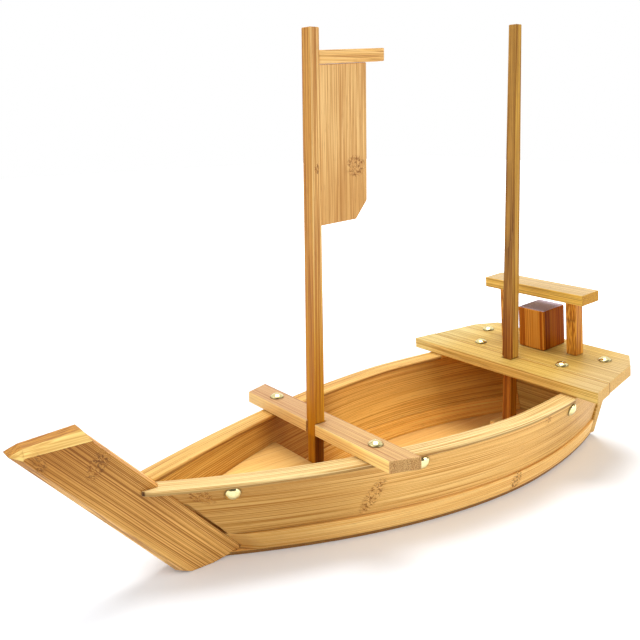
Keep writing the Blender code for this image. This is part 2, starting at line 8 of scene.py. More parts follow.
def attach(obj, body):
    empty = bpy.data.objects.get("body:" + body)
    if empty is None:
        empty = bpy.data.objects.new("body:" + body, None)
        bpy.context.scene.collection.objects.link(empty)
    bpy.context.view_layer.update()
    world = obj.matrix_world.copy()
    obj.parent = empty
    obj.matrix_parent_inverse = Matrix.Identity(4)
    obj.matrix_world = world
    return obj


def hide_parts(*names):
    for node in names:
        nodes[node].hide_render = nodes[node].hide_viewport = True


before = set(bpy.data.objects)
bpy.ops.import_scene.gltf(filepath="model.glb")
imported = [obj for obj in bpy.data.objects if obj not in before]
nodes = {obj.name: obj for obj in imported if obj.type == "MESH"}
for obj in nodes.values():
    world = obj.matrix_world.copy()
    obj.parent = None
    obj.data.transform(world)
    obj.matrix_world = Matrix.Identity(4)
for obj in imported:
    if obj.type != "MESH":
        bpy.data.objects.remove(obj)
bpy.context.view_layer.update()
print("frame loaded,", len(nodes), "solids")


# camera

cameraSetup = {
    "place": (-0.4277, -0.5181, 0.3375),
    "heading": 37.28,  # degrees towards the stern from straight across the boat
    "dip": 6.61,
    "roll": 0.73,
    "lens": 45.07,
    "sensor": 36.0,
    "shiftY": -0.1775,
    "near": 0.01,
}


def setCamera(setup):
    heading, dip, roll = (math.radians(setup[key]) for key in ("heading", "dip", "roll"))
    forward = Vector((math.sin(heading) * math.cos(dip), math.cos(heading) * math.cos(dip), -math.sin(dip)))
    level = Vector((math.cos(heading), -math.sin(heading), 0.0))
    right = level * math.cos(roll) - level.cross(forward) * math.sin(roll)
    up = right.cross(forward)
    data = bpy.data.cameras.new("camera")
    data.sensor_width = setup["sensor"]
    data.lens = setup["lens"]
    data.shift_y = setup["shiftY"]
    data.clip_start = setup["near"]
    camera = bpy.data.objects.new("camera", data)
    place = Matrix((right, up, -forward)).transposed().to_4x4()
    place.translation = setup["place"]
    camera.matrix_world = place
    bpy.context.scene.collection.objects.link(camera)
    bpy.context.scene.camera = camera


setCamera(cameraSetup)
bpy.context.scene.view_settings.view_transform = "Standard"
print("camera set")


# node helpers

def tone(red, green, blue):
    # 0-255 screen colour to the linear colour a shader takes
    linear = []
    for part in (red / 255, green / 255, blue / 255):
        linear.append(part / 12.92 if part <= 0.04045 else ((part + 0.055) / 1.055) ** 2.4)
    return (*linear, 1.0)


def cast(red, green, blue):
    # a colour that others are multiplied by
    return (red, green, blue, 1.0)


def uncast(tint):
    return tuple(1.0 / part for part in tint)


def feed(tree, socket, value):
    if isinstance(value, bpy.types.NodeSocket):
        tree.links.new(value, socket)
    else:
        socket.default_value = value


def sums(tree, operation, *values):
    node = tree.nodes.new("ShaderNodeMath")
    node.operation = operation
    for socket, value in zip(node.inputs, values):
        feed(tree, socket, value)
    return node.outputs[0]


def vectorSums(tree, operation, first, second):
    node = tree.nodes.new("ShaderNodeVectorMath")
    node.operation = operation
    feed(tree, node.inputs[0], first)
    feed(tree, node.inputs[1], second)
    return node.outputs["Value"] if operation == "DOT_PRODUCT" else node.outputs["Vector"]


def join(tree, *parts):
    node = tree.nodes.new("ShaderNodeCombineXYZ")
    for socket, part in zip(node.inputs, parts):
        feed(tree, socket, part)
    return node.outputs[0]


def ease(tree, value, low, high, start=0.0, end=1.0):
    node = tree.nodes.new("ShaderNodeMapRange")
    node.interpolation_type = "SMOOTHSTEP"
    for socket, part in zip(node.inputs, (value, low, high, start, end)):
        feed(tree, socket, part)
    return node.outputs[0]


mixSockets = {"factor": 0, "first": 6, "second": 7, "result": 2}  # of a mix node set to colours


def blend(tree, factor, first, second, mode="MIX"):
    node = tree.nodes.new("ShaderNodeMix")
    node.data_type = "RGBA"
    node.blend_type = mode
    for key, value in (("factor", factor), ("first", first), ("second", second)):
        feed(tree, node.inputs[mixSockets[key]], value)
    return node.outputs[mixSockets["result"]]


def noise(tree, vector, detail=2.0, rough=0.5):
    node = tree.nodes.new("ShaderNodeTexNoise")
    feed(tree, node.inputs["Vector"], vector)
    node.inputs["Scale"].default_value = 1.0
    node.inputs["Detail"].default_value = detail
    node.inputs["Roughness"].default_value = rough
    return node.outputs["Fac"]


def swing(tree, value, amount):
    # noise centred on nought, times an amount
    return sums(tree, "MULTIPLY", sums(tree, "SUBTRACT", value, 0.5), amount)


def placeOn(tree, axis):
    # how far along an axis a point lies
    spot = tree.nodes.new("ShaderNodeTexCoord")
    return vectorSums(tree, "DOT_PRODUCT", spot.outputs["Object"], axis)


def turnedTo(tree, axis, low, high, share=1.0):
    # rises to the share where a face looks along an axis
    surface = tree.nodes.new("ShaderNodeTexCoord")
    facing = vectorSums(tree, "DOT_PRODUCT", surface.outputs["Normal"], axis)
    return ease(tree, facing, low, high, 0.0, share)


def freshMaterial(name):
    material = bpy.data.materials.new(name)
    material.use_nodes = True
    tree = material.node_tree
    tree.nodes.clear()
    shader = tree.nodes.new("ShaderNodeBsdfPrincipled")
    output = tree.nodes.new("ShaderNodeOutputMaterial")
    tree.links.new(shader.outputs[0], output.inputs["Surface"])
    return material, tree, shader


# bamboo, as a solid material: along the grain, across it, and into the depth

# what all bamboo shares; scales are per metre, along the grain and then across it
cane = {
    "wander": (9.0, 30.0),
    "ripple": (430.0, 380.0), "rippleSize": 0.0042,
    "stripStart": (0.37, 0.61), "stripOffset": 0.9, "seamWidth": 0.00022,
    "fine": (9.0, 2300.0), "band": (1.8, 400.0), "broad": (4.5, 120.0),
    "dash": (85.0, 1500.0), "dashRange": (0.6, 0.74), "fibreShift": 3.1, "fibreRough": 0.55,
    "rampEnds": (0.08, 0.92),
    "sideEase": 0.08, "faceRange": (0.3, 0.6), "sawnRange": (0.36, 0.6),
    "knotFade": (1.0, 0.25), "knotShade": 0.14,
    "speck": (360.0, 760.0), "speckRange": (0.52, 0.585), "speckShade": 0.78,
    "dots": (200.0, 1300.0), "dotRange": (0.42, 0.62), "endRange": (0.72, 0.93), "endSeam": 0.5,
    "dirtCore": 0.4, "dirtShade": 0.85,
    "edge": 0.0009, "edgeSamples": 6, "rubRange": (0.995, 0.86), "rub": 0.4,
    "patch": (55.0, 120.0), "patchRange": (0.34, 0.62), "patchShare": 0.6,
    "rough": 0.46, "fineRough": 0.24, "broadRough": 0.16, "endRough": 0.16,
    "fineHeight": 0.8, "streakHeight": 0.5, "dashHeight": 1.8, "seamHeight": 0.4, "speckHeight": 0.9,
    "bump": 0.35, "bumpDepth": 0.00035,
    "specular": 0.14, "coat": 0.03, "coatRough": 0.3,
}

# what a piece has unless its own look says otherwise
plainLook = {
    "waver": 0.0016, "run": 2.6, "streakScale": 1400.0,
    "stripShift": 0.3, "fine": 0.8, "streak": 2.9, "band": 0.25, "broad": 0.3,
    "dash": 0.28, "seam": 0.35, "endDepth": 0.8, "gloss": 1.0,
    "knots": (), "calm": (), "sides": (), "drift": (), "stainsAndShade": (), "deep": (), "sawn": (), "joints": (),
}


def grainPlace(tree, look):
    if "axes" not in look:  # bent pieces carry their own grain
        kept = tree.nodes.new("ShaderNodeAttribute")
        kept.attribute_name = "grain"
        split = tree.nodes.new("ShaderNodeSeparateXYZ")
        tree.links.new(kept.outputs["Vector"], split.inputs[0])
        return split.outputs[0], split.outputs[1], split.outputs[2], None
    parts = [placeOn(tree, axis) for axis in look["axes"]]
    surface = tree.nodes.new("ShaderNodeTexCoord")
    facing = vectorSums(tree, "DOT_PRODUCT", surface.outputs["Normal"], look["axes"][0])
    return *parts, sums(tree, "ABSOLUTE", facing)


def grainNoise(tree, grain, scale, shift, detail=2.0, rough=0.5):
    along, across, depth = grain
    run, cross = scale
    place = join(tree, sums(tree, "MULTIPLY_ADD", along, run, shift),
                 sums(tree, "MULTIPLY", across, cross), sums(tree, "MULTIPLY", depth, cross))
    return noise(tree, place, detail, rough)


def knotMask(tree, along, across, knot):
    place, spread, slant = knot["at"], knot["size"], knot.get("slant", 0.0)
    side = sums(tree, "SUBTRACT", across, place[1])
    run = sums(tree, "SUBTRACT", sums(tree, "SUBTRACT", along, place[0]), sums(tree, "MULTIPLY", side, slant))
    run = sums(tree, "DIVIDE", run, spread[0])
    side = sums(tree, "DIVIDE", side, spread[1])
    reach = sums(tree, "ADD", sums(tree, "MULTIPLY", run, run), sums(tree, "MULTIPLY", side, side))
    return ease(tree, reach, *cane["knotFade"], 0.0, knot.get("depth", 1.0))


def knotMarks(tree, along, across, knots):
    # the flecked bands where the cane had its joints
    marks = None
    for knot in knots:
        mask = knotMask(tree, along, across, knot)
        marks = mask if marks is None else sums(tree, "MAXIMUM", marks, mask)
    return marks


def wavyAcross(tree, look, grain, marks):
    # the grain wavers along the piece, and ripples at the knots
    waver = swing(tree, grainNoise(tree, grain, cane["wander"], look["seed"]), look["waver"])
    if marks is not None:
        ripple = swing(tree, grainNoise(tree, grain, cane["ripple"], look["seed"]), cane["rippleSize"])
        waver = sums(tree, "ADD", waver, sums(tree, "MULTIPLY", ripple, marks))
    return sums(tree, "ADD", grain[1], waver)


def strips(tree, look, grain):
    # strips glued side by side: a number for each, and the glue lines between them
    _, across, depth = grain
    width, thick = look["strip"]
    startAcross, startDepth = (look["seed"] + start for start in cane["stripStart"])
    stripAcross = sums(tree, "MULTIPLY_ADD", across, 1.0 / width, startAcross)
    stripDepth = sums(tree, "MULTIPLY_ADD", depth, 1.0 / thick, startDepth)
    cell = tree.nodes.new("ShaderNodeTexWhiteNoise")
    cell.noise_dimensions = "2D"
    tree.links.new(join(tree, sums(tree, "FLOOR", stripAcross), sums(tree, "FLOOR", stripDepth)),
                   cell.inputs["Vector"])
    seam = sums(tree, "ABSOLUTE", sums(tree, "SUBTRACT", sums(tree, "FRACT", stripAcross), 0.5))
    seam = ease(tree, seam, 0.5 - cane["seamWidth"] / width, 0.5)
    return cell.outputs["Value"], seam


def fibres(tree, look, grain, own):
    # each strip is another length of cane, so its fibres start elsewhere
    along, across, depth = grain
    strip = (sums(tree, "MULTIPLY_ADD", own, cane["stripOffset"], along), across, depth)
    shift = look["seed"] * cane["fibreShift"]
    streakScale = (look["run"], look["streakScale"])
    found = {}
    for kind, scale, detail in (("fine", cane["fine"], 1.0), ("streak", streakScale, 0.0),
                                ("band", cane["band"], 1.0), ("broad", cane["broad"], 2.0),
                                ("dash", cane["dash"], 1.0)):
        found[kind] = grainNoise(tree, strip, scale, shift, detail, cane["fibreRough"])
    found["dash"] = ease(tree, found["dash"], *cane["dashRange"])
    return found


def grainColour(tree, look, own, seam, fibre):
    level = sums(tree, "ADD", 0.5, swing(tree, own, look["stripShift"]))
    for kind in ("fine", "streak", "band", "broad"):
        level = sums(tree, "ADD", level, swing(tree, fibre[kind], look[kind]))
    for axis, share in look["calm"]:  # a planed face shows less of the grain
        turned = turnedTo(tree, axis, *cane["faceRange"], share)
        level = sums(tree, "MULTIPLY_ADD", sums(tree, "SUBTRACT", 0.5, level), turned, level)
    ramp = tree.nodes.new("ShaderNodeValToRGB")
    ramp.color_ramp.interpolation = "EASE"
    for stop, place, key in zip(ramp.color_ramp.elements, cane["rampEnds"], ("dark", "pale")):
        stop.position = place
        stop.color = look[key]
    middle = ramp.color_ramp.elements.new(0.5)
    middle.color = look["tone"]
    tree.links.new(level, ramp.inputs[0])
    colour = ramp.outputs["Color"]
    for mark, depth in ((fibre["dash"], look["dash"]), (seam, look["seam"])):
        colour = blend(tree, sums(tree, "MULTIPLY", mark, depth), colour, look["shade"])
    return colour


def tinted(tree, look, grain, colour):
    along, _, depth = grain
    for axis, low, tint in look["sides"]:  # one face darker or paler: the cane's own tone on some pieces, painted light or shade on others
        turned = turnedTo(tree, axis, low, low + cane["sideEase"])
        colour = blend(tree, turned, colour, tint, "MULTIPLY")
    for start, end, tint in look["drift"]:  # tone that changes along the piece
        colour = blend(tree, ease(tree, along, start, end), colour, tint, "MULTIPLY")
    for axis, start, end, side, tint in look["stainsAndShade"]:  # tone that changes over one face: stains on some pieces, painted shade on others
        reach = ease(tree, placeOn(tree, axis), start, end)
        turned = turnedTo(tree, side, *cane["faceRange"])
        colour = blend(tree, sums(tree, "MULTIPLY", reach, turned), colour, tint, "MULTIPLY")
    for start, end, tint in look["deep"]:  # tone that changes into the piece
        colour = blend(tree, ease(tree, depth, start, end), colour, tint, "MULTIPLY")
    for axis, low, face, line in look["sawn"]:  # sawn at a slant, the fibres show as long lines
        turned = turnedTo(tree, axis, low, low + cane["sideEase"])
        spot = tree.nodes.new("ShaderNodeTexCoord")
        lines = noise(tree, vectorSums(tree, "MULTIPLY", spot.outputs["Object"], look["sawnScale"]), 1.0)
        lined = blend(tree, ease(tree, lines, *cane["sawnRange"]), line, face)
        colour = blend(tree, turned, colour, lined)
    return colour


def flecked(tree, look, grain, colour, marks):
    speck = grainNoise(tree, grain, cane["speck"], look["seed"], 1.0)
    grit = sums(tree, "MULTIPLY", ease(tree, speck, *cane["speckRange"]), marks)
    colour = blend(tree, sums(tree, "MULTIPLY", marks, cane["knotShade"]), colour, look["dark"])
    colour = blend(tree, sums(tree, "MULTIPLY", grit, cane["speckShade"]), colour, look["shade"])
    return colour, grit


def cutEnds(tree, look, grain, colour, facing, seam):
    # cut ends show the fibres as dots
    shade = look["shade"]
    ends = ease(tree, facing, *cane["endRange"])
    dots = ease(tree, grainNoise(tree, grain, cane["dots"], 0.0, 1.0), *cane["dotRange"])
    endTone = blend(tree, dots, look["end"], look.get("endShade", shade))
    endTone = blend(tree, sums(tree, "MULTIPLY", seam, cane["endSeam"]), endTone, shade)
    return blend(tree, sums(tree, "MULTIPLY", ends, look["endDepth"]), colour, endTone), ends


def dirtied(tree, look, colour):
    # dirt gathers in the joints, and what is clean can still be rubbed
    clean = 1.0
    for axis, place, reach, side in look["joints"]:
        away = sums(tree, "ABSOLUTE", sums(tree, "SUBTRACT", placeOn(tree, axis), place))
        near = ease(tree, away, reach, reach * cane["dirtCore"])
        dirt = sums(tree, "MULTIPLY", turnedTo(tree, side, *cane["faceRange"]), near)
        colour = blend(tree, sums(tree, "MULTIPLY", dirt, cane["dirtShade"]), colour, look["shade"])
        clean = sums(tree, "MULTIPLY", clean, sums(tree, "SUBTRACT", 1.0, dirt))
    return colour, clean


def rubbed(tree, look, grain, colour, rounded, clean):
    # handled edges rub paler, here more and there less
    surface = tree.nodes.new("ShaderNodeNewGeometry")
    turn = vectorSums(tree, "DOT_PRODUCT", rounded, surface.outputs["Normal"])
    patch = ease(tree, grainNoise(tree, grain, cane["patch"], look["seed"]), *cane["patchRange"])
    patch = sums(tree, "MULTIPLY_ADD", patch, cane["patchShare"], 1.0 - cane["patchShare"])
    rub = sums(tree, "MULTIPLY", ease(tree, turn, *cane["rubRange"]), patch)
    rub = sums(tree, "MULTIPLY", rub, clean)
    return blend(tree, sums(tree, "MULTIPLY", rub, cane["rub"]), colour, look["pale"])


def bamboo(name, ownLook):
    look = {**plainLook, **ownLook}
    material, tree, shader = freshMaterial(name)
    along, across, depth, facing = grainPlace(tree, look)
    marks = knotMarks(tree, along, across, look["knots"])
    grain = (along, wavyAcross(tree, look, (along, across, depth), marks), depth)
    own, seam = strips(tree, look, grain)
    fibre = fibres(tree, look, grain, own)

    colour = grainColour(tree, look, own, seam, fibre)
    colour = tinted(tree, look, grain, colour)
    grit = ends = None
    if marks is not None:
        colour, grit = flecked(tree, look, grain, colour, marks)
    if facing is not None:
        colour, ends = cutEnds(tree, look, grain, colour, facing, seam)
    colour, clean = dirtied(tree, look, colour)
    bevel = tree.nodes.new("ShaderNodeBevel")
    bevel.samples = cane["edgeSamples"]
    bevel.inputs["Radius"].default_value = cane["edge"]
    rounded = bevel.outputs[0]
    colour = rubbed(tree, look, grain, colour, rounded, clean)
    tree.links.new(colour, shader.inputs["Base Color"])

    rough = sums(tree, "ADD", cane["rough"], swing(tree, fibre["fine"], cane["fineRough"]))
    rough = sums(tree, "ADD", rough, swing(tree, fibre["broad"], cane["broadRough"]))
    if ends is not None:
        rough = sums(tree, "MULTIPLY_ADD", ends, cane["endRough"], rough)
    tree.links.new(rough, shader.inputs["Roughness"])

    height = sums(tree, "ADD", swing(tree, fibre["fine"], cane["fineHeight"]),
                  swing(tree, fibre["streak"], cane["streakHeight"]))
    hollows = [(fibre["dash"], cane["dashHeight"] * look["dash"]), (seam, cane["seamHeight"])]
    if grit is not None:
        hollows.append((grit, cane["speckHeight"]))
    for mark, amount in hollows:
        height = sums(tree, "SUBTRACT", height, sums(tree, "MULTIPLY", mark, amount))
    bump = tree.nodes.new("ShaderNodeBump")
    bump.inputs["Strength"].default_value = cane["bump"]
    bump.inputs["Distance"].default_value = cane["bumpDepth"]
    tree.links.new(height, bump.inputs["Height"])
    tree.links.new(rounded, bump.inputs["Normal"])
    tree.links.new(bump.outputs[0], shader.inputs["Normal"])

    shader.inputs["Specular IOR Level"].default_value = cane["specular"] * look["gloss"]
    shader.inputs["Coat Weight"].default_value = cane["coat"] * look["gloss"]
    shader.inputs["Coat Roughness"].default_value = cane["coatRough"]
    return material


# hull lines, the same as the solids'

hull = {
    "gap": 0.0003,
    "beamX": 0.118,
    "railBeam": 0.0996, "railBow": (-0.233, 1.767), "railStern": (0.0185, 1.464),
    "sideBeam": 0.0986, "sideBow": (-0.204, 1.8), "sideStern": (0.032, 2.07),
    "footBeam": 0.0785, "footBow": (-0.1525, 1.93), "footStern": (0.0301, 1.87),
    "sternX": 0.2777, "bowTrim": 1.0,
    "floor": 0.0032, "ledgeTop": 0.0197, "ledge": 0.0025, "plank": 0.007, "centre": 0.0004,
    "railTop": 0.0711, "railWidth": 0.0175, "railThick": 0.0034, "railLap": 0.0145,
    "railPoint": 0.0011, "railTrim": 0.8, "railEnd": 0.0012, "bowSheer": 0.003, "sternSheer": 0.0034,
    "thwartX": -0.046, "deckX": 0.1886, "deckPitch": math.radians(4),
    "stemHeel": -0.1156, "stemNip": 0.0065, "stemThick": 0.022, "stemBevel": 0.0052, "stemBackBevel": 0.0016,
}
slopeStep = 0.001
bowPasses = 12


def halfBeam(x, beam, bow, stern):
    middle = hull["beamX"]
    if x < middle:
        return beam * (1 - ((middle - x) / (middle - bow[0])) ** bow[1])
    return beam - stern[0] * ((x - middle) / (hull["sternX"] - middle)) ** stern[1]


def railEdge(x):
    return halfBeam(x, hull["railBeam"], hull["railBow"], hull["railStern"])


def sideEdge(x):
    return halfBeam(x, hull["sideBeam"], hull["sideBow"], hull["sideStern"])


def footEdge(x):
    return halfBeam(x, hull["footBeam"], hull["footBow"], hull["footStern"])


def slopeOf(curve, x, *rest):
    return (curve(x + slopeStep, *rest) - curve(x - slopeStep, *rest)) / (2 * slopeStep)


def stemBack(z):
    return hull["stemHeel"] - max(z, hull["stemNip"])


def stemFace(z):
    return stemBack(z) - hull["stemBackBevel"] * math.sqrt(2)


def railTip():
    return stemFace(hull["railTop"]) - hull["railLap"]


def railInner(x):
    return max(railEdge(x) - hull["railWidth"] * math.hypot(1, slopeOf(railEdge, x)), hull["centre"])


def railOuter(x):
    point = hull["stemThick"] / 2 + hull["gap"] + hull["railPoint"]
    return max(point, min(railEdge(x), point + hull["railTrim"] * (x - railTip())))


def sheer(x):
    start = hull["thwartX"]
    if x < start:
        return hull["railTop"] + hull["bowSheer"] * ((start - x) / (start - railTip())) ** 2
    run = min(x, hull["deckX"])
    height = hull["railTop"] + hull["sternSheer"] * ((run - start) / (hull["deckX"] - start)) ** 2
    return height + (x - run) * math.tan(hull["deckPitch"])


def sideTop(x):
    return sheer(x) - hull["railThick"] - hull["gap"]


def skin(x, z):
    low = footEdge(x) - hull["ledge"]
    return max(low + (sideEdge(x) - low) * z / sideTop(x), 2 * hull["centre"])


def lining(x, z):
    return max(skin(x, z) - hull["plank"] * math.hypot(1, slopeOf(skin, x, z)), hull["centre"])


def bowStart(height, line):
    # where a line at this height meets the stem, closed in on step by step
    x = hull["stemHeel"]
    for _ in range(bowPasses):
        x = line(height(x)) + hull["gap"] * math.sqrt(2)
    return x


# bent pieces: a skin over rings of points, with the grain kept at each point

bentTurn = math.radians(38)  # edges that turn more stay sharp
quarterRound = [math.radians(30 * step) for step in range(4)]


def bridge(rings, count):
    # the four-cornered faces between rings of points
    faces = []
    for r in range(rings - 1):
        for k in range(count):
            n = (k + 1) % count
            faces.append((r * count + k, r * count + n, (r + 1) * count + n, (r + 1) * count + k))
    return faces


def bentPiece(name, rings, grain, material):
    count = len(rings[0])
    points = [point for ring in rings for point in ring]
    faces = bridge(len(rings), count)
    last = (len(rings) - 1) * count
    faces.append(tuple(range(count))[::-1])
    faces.append(tuple(last + k for k in range(count)))
    volume = 0.0
    for face in faces:
        first = Vector(points[face[0]])
        for a, b in zip(face[1:], face[2:]):
            volume += first.dot(Vector(points[a]).cross(Vector(points[b])))
    if volume < 0:
        faces = [face[::-1] for face in faces]
    mesh = bpy.data.meshes.new(name)
    mesh.from_pydata(points, [], faces)
    kept = mesh.attributes.new("grain", "FLOAT_VECTOR", "POINT")
    kept.data.foreach_set("vector", [value for ring in grain for point in ring for value in point])
    mesh.shade_smooth()
    mesh.set_sharp_from_angle(angle=bentTurn)
    mesh.materials.append(material)
    piece = bpy.data.objects.new(name, mesh)
    bpy.context.scene.collection.objects.link(piece)
    return piece


def runLengths(row):
    lengths = [0.0]
    for a, b in zip(row, row[1:]):
        lengths.append(lengths[-1] + (Vector(b) - Vector(a)).length)
    return lengths


def strake(name, profile, side, stations, material):
    # profile rows: breadth, height, line of the stem, distance from it, place across the grain, depth
    columns = []
    for breadth, height, line, back, across, depth in profile:
        start = bowStart(height, line) + back
        end = hull["sternX"] - hull["gap"]
        xs = [start + (end - start) * k / stations for k in range(stations + 1)]
        row = [(x, side * breadth(x, height(x)), height(x)) for x in xs]
        columns.append((row, across, depth))
    runs = runLengths(columns[len(columns) // 4][0])
    rings = list(zip(*(row for row, across, depth in columns)))
    grain = [[(runs[k], across, depth) for row, across, depth in columns] for k in range(stations + 1)]
    return bentPiece(name, rings, grain, material)


innerBack = 0.0005  # the inner faces of the planks end this much short of the stem

lowerStrake = {"stations": 110, "ease": 0.0009, "heights": (0.0, 0.04, 0.2, 0.4, 0.6, 0.8)}


def lowerProfile(style):
    foot = hull["floor"] + hull["gap"]
    top = hull["ledgeTop"]
    soft = style["ease"]

    def at(z):
        return lambda x: z

    def out(inset):
        # trimmed at the bow to lie flush with the stem
        return lambda x, z: min(skin(x, z) + hull["ledge"],
                                hull["stemThick"] / 2 + hull["bowTrim"] * (x - stemFace(z))) - inset

    rows = []
    for share in style["heights"]:
        z = foot + (top - soft - foot) * share
        rows.append((out(0.0), at(z), stemFace, 0.0, z, 0.0))
    for a in quarterRound:
        z = top - soft + soft * math.sin(a)
        rows.append((out(soft * (1 - math.cos(a))), at(z), stemFace, 0.0, z, 0.0))
    inside = hull["plank"] + hull["ledge"]
    for z in (top, (top + foot) / 2, foot):
        rows.append((lining, at(z), stemBack, innerBack, z, inside))
    return rows


upperStrake = {
    "stations": 110,
    "ease": 0.0005,
    "grainHeight": 0.047,
    # share of the height, and how far the end stands off the stem there
    "ends": ((0.0, 0.002), (0.02, 0.002), (0.18, 0.0025), (0.35, 0.003), (0.52, 0.003), (0.68, 0.003),
             (0.72, 0.0), (0.86, 0.0), (1.0, 0.0)),
}


def upperProfile(style):
    base = hull["ledgeTop"] + hull["gap"]

    def at(share):
        return lambda x: base + (sideTop(x) - base) * share

    def out(inset):
        return lambda x, z: skin(x, z) - inset

    rows = []
    for share, back in style["ends"]:
        inset = style["ease"] if share == 0.0 else 0.0
        rows.append((out(inset), at(share), stemFace, back, base + share * style["grainHeight"], 0.0))
    for share, back in style["ends"][::-2]:
        rows.append((lining, at(share), stemBack, back + innerBack, base + share * style["grainHeight"],
                     hull["plank"]))
    return rows


railStyle = {
    "stations": 130, "noseStations": 10,
    "crowd": 1.25,  # stations crowd towards the bow, where the edge turns most
    "ease": 0.0007, "easeShare": 0.3,
    "shoulderStep": 0.00004,
}


def railLayer(drop, style):
    # stations of the rail's top or underside: place, outer edge, inner edge, height
    face = hull["stemThick"] / 2 + hull["gap"]
    shoulder = hull["stemThick"] / 2 - hull["stemBevel"]

    def height(x):
        return sheer(x) - drop

    back = bowStart(height, stemBack)
    front = bowStart(height, stemFace)
    tip = railTip()
    end = hull["deckX"] - hull["railEnd"]
    noseCount, count = style["noseStations"], style["stations"]
    edges = []
    for k in range(noseCount + 1):
        x = tip + (front - tip) * k / noseCount
        edges.append((x, railOuter(x), face))
    edges.append((back - style["shoulderStep"], railOuter(back), shoulder))
    for k in range(count + 1):
        x = back + (end - back) * (k / count) ** style["crowd"]
        edges.append((x, railOuter(x), railInner(x)))
    return [(x, outer, inner, height(x)) for x, outer, inner in edges]


def rail(name, side, style, material):
    thick = hull["railThick"]
    low = railLayer(thick, style)
    high = railLayer(0.0, style)
    runs = runLengths([(x, outer, z) for x, outer, inner, z in high])
    rings = []
    grain = []
    for run, (lowX, lowOuter, lowInner, lowZ), (x, outer, inner, z) in zip(runs, low, high):
        width = outer - inner
        soft = min(style["ease"], style["easeShare"] * width)
        section = [(lowX, lowOuter, lowZ, 0.0, thick)]
        for a in quarterRound:
            inset = soft * (1 - math.cos(a))
            section.append((x, outer - inset, z - soft * (1 - math.sin(a)), inset, 0.0))
        section.append((x, (outer + inner) / 2, z, width / 2, 0.0))
        for a in reversed(quarterRound):
            inset = soft * (1 - math.cos(a))
            section.append((x, inner + inset, z - soft * (1 - math.sin(a)), width, 0.0))
        section.append((lowX, lowInner, lowZ, width, thick))
        rings.append([(px, side * py, pz) for px, py, pz, across, depth in section])
        grain.append([(run, across, depth) for px, py, pz, across, depth in section])
    return bentPiece(name, rings, grain, material)


# finishes

toBow, toStern, toTop = (-1.0, 0.0, 0.0), (1.0, 0.0, 0.0), (0.0, 0.0, 1.0)
toPort, toStarboard = (0.0, -1.0, 0.0), (0.0, 1.0, 0.0)
rake = math.sqrt(0.5)
deckCos, deckSin = math.cos(hull["deckPitch"]), math.sin(hull["deckPitch"])
alongDeck = (deckCos, 0.0, deckSin)
flat = 0.8  # a face that looks along an axis at least this squarely

# grain axes: along, across, depth
alongX = (toStern, toStarboard, toTop)
alongXOnEdge = (toStern, toTop, toStarboard)
alongY = (toStarboard, toStern, toTop)
alongYOnEdge = (toStarboard, toTop, toStern)
upright = (toTop, toStern, toStarboard)
squareToDeck = ((-deckSin, 0.0, deckCos), alongDeck, toStarboard)

sideLook = {
    "seed": 1.7, "strip": (0.019, 0.05), "stripShift": 0.22, "seam": 0.12, "run": 6.0,
    "streakScale": 2400.0, "streak": 3.2, "band": 0.04, "broad": 0.1, "fine": 1.9, "waver": 0.0008,
    "tone": tone(224, 171, 92), "pale": tone(240, 197, 121), "dark": tone(194, 136, 63),
    "shade": tone(150, 98, 44),
    "drift": ((0.16, 0.06, cast(0.74, 0.68, 0.58)), (0.28, 0.36, cast(0.87, 0.86, 0.83))),
    "deep": ((0.003, 0.006, cast(1.1, 1.06, 0.78)),),
    "knots": (
        {"at": (0.129, 0.037), "size": (0.0085, 0.019), "slant": 1.1, "depth": 1.4},
        {"at": (0.0175, 0.058), "size": (0.009, 0.0085), "slant": 0.4, "depth": 2.2},
        {"at": (0.317, 0.0635), "size": (0.006, 0.006)},
    ),
}
lowerLook = {
    **sideLook,
    "seed": 4.3,
    "tone": tone(249, 196, 111), "pale": tone(253, 214, 139), "dark": tone(220, 161, 81),
    "drift": ((0.13, 0.03, cast(0.76, 0.7, 0.6)),),
    "knots": ({"at": (0.2605, 0.012), "size": (0.0078, 0.0105), "slant": 0.4, "depth": 1.7},),
}
railLook = {
    "seed": 2.2, "strip": (0.0088, 0.02), "stripShift": 0.3, "seam": 0.18, "streak": 4.2, "run": 8.0,
    "tone": tone(222, 186, 121), "pale": tone(236, 210, 148), "dark": tone(192, 144, 76),
    "shade": tone(160, 110, 50), "dash": 0.3,
    # painted shade, with some darker cane: the side darkens towards the underside
    "deep": ((0.0006, 0.002, cast(0.52, 0.4, 0.27)),),
    "stainsAndShade": ((toStern, -0.2014, -0.2026, (-0.6, -0.8, 0.0), cast(0.2, 0.13, 0.1)),),  # painted shade on the tip's end, in the gap at the stem
}
farRailLook = {
    **railLook,
    "seed": 7.9,
    "tone": tone(212, 166, 86), "pale": tone(228, 186, 110), "dark": tone(186, 128, 56),
    "shade": tone(146, 94, 40),
}

